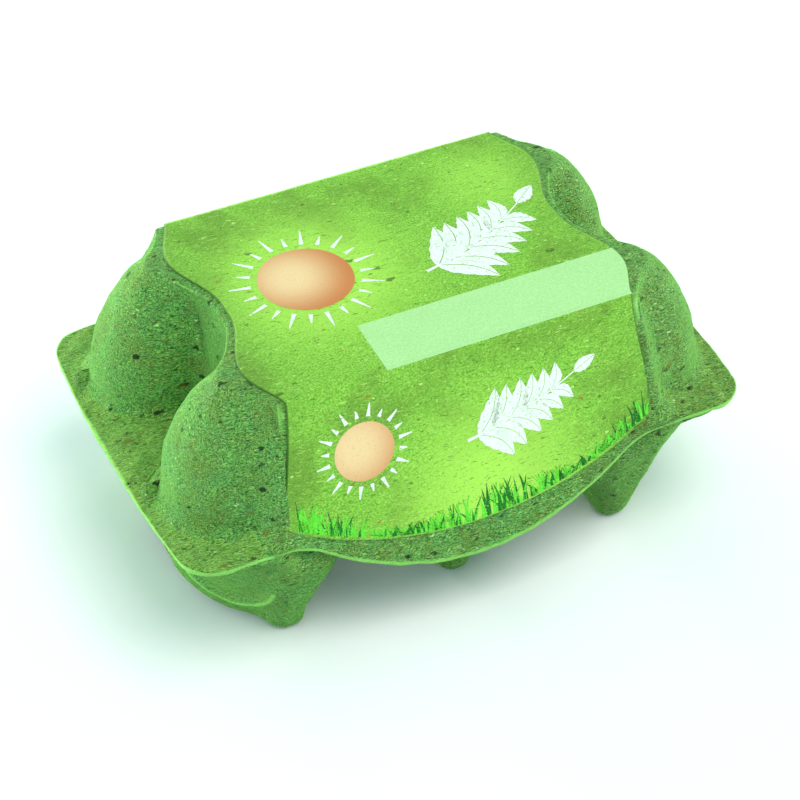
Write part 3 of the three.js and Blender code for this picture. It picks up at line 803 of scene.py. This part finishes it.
def pulpMaterial():
    look = pulpLook
    sheen = (look[key] for key in ("sheen", "sheenTone", "sheenRough"))
    made, tree, shader = newMaterial("pulp", look["rough"], *sheen)
    place = millimetres(tree)
    bent = warped(tree, place, 0.4, 1.8)
    fine = noise(tree, bent, 1.9, 4.0, 0.72)
    colour = mixTone(tree, ramp(tree, fine, 0.34, 0.66), tone(*look["dark"]), tone(*look["light"]))
    broad = ramp(tree, noise(tree, place, 0.09, 3.0), 0.42, 0.64, 0.0, 0.55)
    colour = mixTone(tree, broad, colour, tone(*look["yellow"]))
    broad = ramp(tree, noise(tree, place, 0.16, 2.0), 0.5, 0.7, 0.0, 0.3)
    colour = mixTone(tree, broad, colour, tone(*look["cool"]))
    # Painted top light: up-facing flat parts near the rim are painted lighter and yellower
    across, height = (addNode(tree, "SeparateXYZ", {0: place}, pick=axis) for axis in (0, 2))
    normal = addNode(tree, "SeparateXYZ", {0: addNode(tree, "NewGeometry", {}, pick="Normal")}, pick=2)
    level = sums(tree, "MULTIPLY", ramp(tree, normal, 0.7, 0.98), ramp(tree, height, 40.0, 44.0, 1.0, 0.0))
    colour = tinted(tree, colour, level, 0.5, look["level"])
    # Painted shade: the right-hand end is painted browner and darker, and hollows and the underside are
    # painted darker
    colour = mixTone(tree, ramp(tree, across, 5.0, 62.0, 0.0, 0.35), colour, tone(*look["paintedEndShade"]))
    ridge = addNode(tree, "Attribute", {}, pick=2, attribute_name="ridge")
    colour = mixTone(tree, ramp(tree, ridge, -0.06, -0.6, 0.0, 0.55), colour, tone(*look["hollow"]))
    colour = mixTone(tree, ramp(tree, normal, -0.05, -0.6, 0.0, 0.75), colour, tone(*look["under"]))
    relief = ramp(tree, fine, 0.25, 0.75)
    for turn, low, long, shade, strength in look["threads"]:
        thread = fibres(tree, bent, turn, long, look["threadThin"], low, low + 0.05)
        colour = tinted(tree, colour, thread, strength, shade)
        relief = sums(tree, "ADD", relief, sums(tree, "MULTIPLY", thread, 0.35))
    spots = warped(tree, place, 0.9, 1.3)
    for size, radius, share, shade, strength in look["flecks"]:
        turn = (size, 1.7 * size, 0.6 * size)
        colour = tinted(tree, colour, flecks(tree, spots, size, radius, share, turn, 2.2), strength, shade)
    # Painted highlight: ridges and edges are painted lighter
    colour = mixTone(tree, ramp(tree, ridge, 0.5, 1.6, 0.0, 0.65), colour, tone(*look["worn"]))
    # Imprint of the mould's wire mesh: the sine of each axis times that of the next, added up
    mesh = addNode(tree, "VectorMath", {0: place, 1: (look["meshPerMm"],) * 3}, operation="MULTIPLY")
    mesh = addNode(tree, "VectorMath", {0: mesh}, operation="SINE")
    x, y, z = (addNode(tree, "SeparateXYZ", {0: mesh}, pick=axis) for axis in (0, 1, 2))
    turned = addNode(tree, "CombineXYZ", {0: y, 1: z, 2: x})
    weave = addNode(tree, "VectorMath", {0: mesh, 1: turned}, pick=1, operation="DOT_PRODUCT")
    patch = ramp(tree, noise(tree, place, 0.09, 1.0), 0.4, 0.6, 0.05, 0.45)
    relief = sums(tree, "ADD", relief, sums(tree, "MULTIPLY", weave, patch))
    joinShader(tree, shader, colour, relief, look["bump"], look["bumpDepth"])
    return made


# A glow is its middle, radius and strength. Threads and flecks are as in the pulp, all of one strength.
paperLook = {
    "rough": 0.7, "dark": (88, 150, 34), "light": (166, 224, 84), "streak": (128, 204, 66),
    "deeper": (104, 142, 46), "glow": (186, 244, 92), "end": (96, 138, 48), "cut": (66, 112, 30),
    "bump": 0.5, "bumpDepth": 0.00006, "threadThin": 0.3, "threadStrength": 0.7, "fleckStrength": 0.75,
    "glows": (((-20.0, 2.0, 72.0), 34.0, 0.85), ((4.0, -46.0, 36.0), 34.0, 0.8),
              ((34.0, 20.0, 72.0), 20.0, 0.4)),
    "flecks": ((6.0, 0.8, 0.6, (62, 90, 24)), (3.4, 0.42, 0.4, (84, 112, 34)),
               (4.4, 0.5, 0.4, (150, 116, 44)), (3.0, 0.34, 0.4, (206, 244, 130))),
    "threads": (((0.0, 0.0, 0.5), 0.64, 3.0, (76, 118, 34)), ((0.0, 0.0, 1.9), 0.65, 3.0, (190, 232, 116)),
                ((0.0, 0.0, 2.6), 0.64, 2.2, (170, 216, 90)), ((0.0, 0.0, 1.1), 0.7, 7.0, (60, 88, 26))),
}


# Colour of the unprinted label: grass green with soft lighter patches, fine fibres and specks.
def paperGround(tree, place):
    look = paperLook
    fine = noise(tree, place, 2.2, 4.0, 0.7)
    colour = mixTone(tree, ramp(tree, fine, 0.34, 0.66), tone(*look["dark"]), tone(*look["light"]))
    streak = addNode(tree, "Mapping", {"Vector": place, "Scale": (0.3, 3.2, 3.2)})
    streak = noise(tree, streak, 1.0, 2.0)
    colour = mixTone(tree, ramp(tree, streak, 0.4, 0.66, 0.0, 0.6), colour, tone(*look["streak"]))
    broad = noise(tree, place, 0.06, 3.0)
    colour = mixTone(tree, ramp(tree, broad, 0.45, 0.68, 0.0, 0.6), colour, tone(*look["deeper"]))
    for middle, radius, strength in look["glows"]:
        away = addNode(tree, "VectorMath", {0: place, 1: middle}, pick=1, operation="DISTANCE")
        glow = ramp(tree, away, radius, radius * 0.1, 0.0, strength)
        colour = mixTone(tree, glow, colour, tone(*look["glow"]))
    # Darker towards the ends of the sheet
    far = addNode(tree, "SeparateXYZ", {0: place}, pick=0)
    far = addNode(tree, "Math", {0: far}, operation="ABSOLUTE")
    colour = mixTone(tree, ramp(tree, far, 34.0, 50.0, 0.0, 0.35), colour, tone(*look["end"]))
    spots = warped(tree, place, 0.7, 1.4)
    for size, radius, share, shade in look["flecks"]:
        spot = flecks(tree, spots, size, radius, share, (0.4, 0.9, 0.3), 1.8)
        colour = tinted(tree, colour, spot, look["fleckStrength"], shade)
    bent = warped(tree, place, 0.3, 2.4)
    for turn, low, long, shade in look["threads"]:
        thread = fibres(tree, bent, turn, long, look["threadThin"], low, low + 0.06)
        colour = tinted(tree, colour, thread, look["threadStrength"], shade)
    # Painted shadow: the sheet's edges are painted dark, as the shadow line where it meets the lid
    side = addNode(tree, "SeparateXYZ", {0: addNode(tree, "NewGeometry", {}, pick="Normal")}, pick=0)
    side = addNode(tree, "Math", {0: side}, operation="ABSOLUTE")
    colour = mixTone(tree, ramp(tree, side, 0.2, 0.5, 0.0, 0.9), colour, tone(*look["cut"]))
    return colour, sums(tree, "ADD", ramp(tree, streak, 0.2, 0.8), fine)


# Label paper, bare or under one ink that is worn through in places.
def paperMaterial(name, shades=None, wear=0.0):
    made, tree, shader = newMaterial(name, paperLook["rough"])
    place = millimetres(tree)
    colour, relief = paperGround(tree, place)
    if shades:
        mottle = ramp(tree, noise(tree, place, 2.4, 4.0, 0.7), 0.3, 0.7)
        ink = mixTone(tree, mottle, tone(*shades[0]), tone(*shades[1]))
        worn = ramp(tree, noise(tree, place, 1.5, 4.0, 0.75), 0.62 - wear, 0.68 - wear)
        colour = mixTone(tree, worn, ink, colour) if wear else mixTone(tree, 0.93, colour, ink)
    joinShader(tree, shader, colour, relief, paperLook["bump"], paperLook["bumpDepth"])
    return made


# Ochre disc, lighter towards one side.
def sunMaterial(middle):
    made, tree, shader = newMaterial("sunInk" + str(int(middle[0])), 0.6, 0.1, (255, 240, 200))
    place = millimetres(tree)
    away = addNode(tree, "VectorMath", {0: place, 1: middle}, pick=1, operation="DISTANCE")
    colour = mixTone(tree, ramp(tree, away, 2.0, 15.0), tone(250, 214, 160), tone(214, 132, 74))
    fine = noise(tree, place, 1.8, 3.0, 0.7)
    colour = mixTone(tree, ramp(tree, fine, 0.55, 0.75, 0.0, 0.4), colour, tone(196, 112, 60))
    joinShader(tree, shader, colour, fine, 0.4, paperLook["bumpDepth"])
    return made


def finishPiece(made, material, slot, *nodes):
    made.data.materials.clear()
    made.data.materials.append(material)
    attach(made, "root")
    if nodes:
        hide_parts(*nodes)


print("shapes")
pulp = pulpMaterial()
finishPiece(makeLid(), pulp, "pulp", "carton")
finishPiece(makeTray(), pulp, "pulp", "carton")
finishPiece(makeLugs(), pulp, "pulp")
finishPiece(makeLabel(), paperMaterial("labelPaper"), "label_paper", "label")

print("print on the label")
white = paperMaterial("whiteInk", ((236, 246, 232), (252, 255, 250)), 0.04)
pale = paperMaterial("paleInk", ((172, 226, 146), (194, 240, 170)))
bright = paperMaterial("grassInk", ((70, 214, 40), (130, 240, 70)), 0.03)
deep = paperMaterial("deepInk", ((22, 96, 30), (40, 140, 40)), 0.02)
finishPiece(makePrint("dateStrip", [bandPatch()]), pale, "label_paper")
for name, prints in (("top", topPrints), ("front", frontPrints)):
    sun = prints["sun"]
    rays = rayPatches(*sun["at"], sun["raysFrom"], sun["raysTo"], sun["rays"])
    finishPiece(makePrint(name + "Sprig", sprigPatches(**prints["sprig"])), white, "label_paper")
    disc = [discPatch(*sun["at"], sun["radius"])]
    finishPiece(makePrint(name + "Sun", disc), sunMaterial(sun["light"]), "label_paper")
    finishPiece(makePrint(name + "Rays", rays), white, "label_paper")
finishPiece(makePrint("grassDeep", grassPatches(grass["deep"], 21)), deep, "label_paper")
finishPiece(makePrint("grassBright", grassPatches(grass["bright"], 22)), bright, "label_paper")

# Floor, light and camera

view = {"azimuth": -26.14, "elevation": 41.38, "roll": 0.24, "distance": 643.01, "lens": 113.1,
        "aimRight": 1.66, "aimUp": 20.69}
lights = {
    "key": {"place": (0.15, -0.5, 1.2), "aim": (0, 0, 0.03), "sizes": (0.8, 0.8), "power": 10.0,
            "colour": (1.0, 0.95, 0.86)},
    "rearLeft": {"place": (-0.35, 1.1, 0.1), "aim": (0, 0, 0.05), "sizes": (1.1, 0.12), "power": 26.0,
                 "colour": (1.0, 1.0, 0.94)},
    "left": {"place": (-1.1, 0.35, 0.12), "aim": (0, 0, 0.05), "sizes": (0.7, 0.12), "power": 8.0,
             "colour": (1.0, 1.0, 0.94)},
    "rearRight": {"place": (1.1, 0.3, 0.1), "aim": (0, 0, 0.06), "sizes": (0.7, 0.12), "power": 11.0,
                  "colour": (1.0, 1.0, 0.94)},
    "right": {"place": (1.15, -0.35, 0.07), "aim": (0, 0, 0.03), "sizes": (0.6, 0.1), "power": 4.0,
              "colour": (0.98, 1.0, 0.96)},
}
studio = {"floor": (0.95, 0.97, 0.98, 1), "floorHalf": 4000.0, "sky": (0.6, 0.93, 0.98, 1),
          "skyStrength": 0.61}


def makeCamera():
    a, e, roll = (math.radians(view[key]) for key in ("azimuth", "elevation", "roll"))
    back = Vector((math.sin(a) * math.cos(e), -math.cos(a) * math.cos(e), math.sin(e)))
    right = Vector((math.cos(a), math.sin(a), 0))
    up = back.cross(right)
    right, up = right * math.cos(roll) + up * math.sin(roll), up * math.cos(roll) - right * math.sin(roll)
    aim = right * view["aimRight"] + up * view["aimUp"] + Vector((0, shiftY, 0))
    data = bpy.data.cameras.new("camera")
    data.lens = view["lens"]
    data.sensor_width = 36.0
    data.clip_start = 0.01
    made = bpy.data.objects.new("camera", data)
    bpy.context.scene.collection.objects.link(made)
    turn = Matrix((right, up, back)).transposed().to_4x4()
    made.matrix_world = Matrix.Translation((aim + back * view["distance"]) * 0.001) @ turn
    bpy.context.scene.camera = made


def makeLight(name, place, aim, sizes, power, colour):
    data = bpy.data.lights.new(name, "AREA")
    data.shape = "RECTANGLE"
    data.size, data.size_y = sizes
    data.energy = power
    data.color = colour
    made = bpy.data.objects.new(name, data)
    bpy.context.scene.collection.objects.link(made)
    made.location = place
    made.rotation_euler = (Vector(aim) - Vector(place)).to_track_quat("-Z", "Y").to_euler()


def makeFloor():
    corners = np.array([[-1, -1, 0], [1, -1, 0], [1, 1, 0], [-1, 1, 0]]) * studio["floorHalf"]
    made = makeMesh("floor", corners - np.array([0, shiftY, 0]), np.array([[0, 1, 2, 3]]))
    material = bpy.data.materials.new("floor")
    material.use_nodes = True
    shader = material.node_tree.nodes["Principled BSDF"]
    shader.inputs["Base Color"].default_value = studio["floor"]
    shader.inputs["Roughness"].default_value = 0.9
    shader.inputs["Specular IOR Level"].default_value = 0.0
    made.data.materials.append(material)


def makeWorld():
    world = bpy.data.worlds.new("studio")
    world.use_nodes = True
    background = world.node_tree.nodes["Background"]
    background.inputs["Color"].default_value = studio["sky"]
    background.inputs["Strength"].default_value = studio["skyStrength"]
    bpy.context.scene.world = world


print("stage")
makeCamera()
makeFloor()
makeWorld()
for name, light in lights.items():
    makeLight(name, **light)
bpy.context.scene.view_settings.view_transform = "Standard"
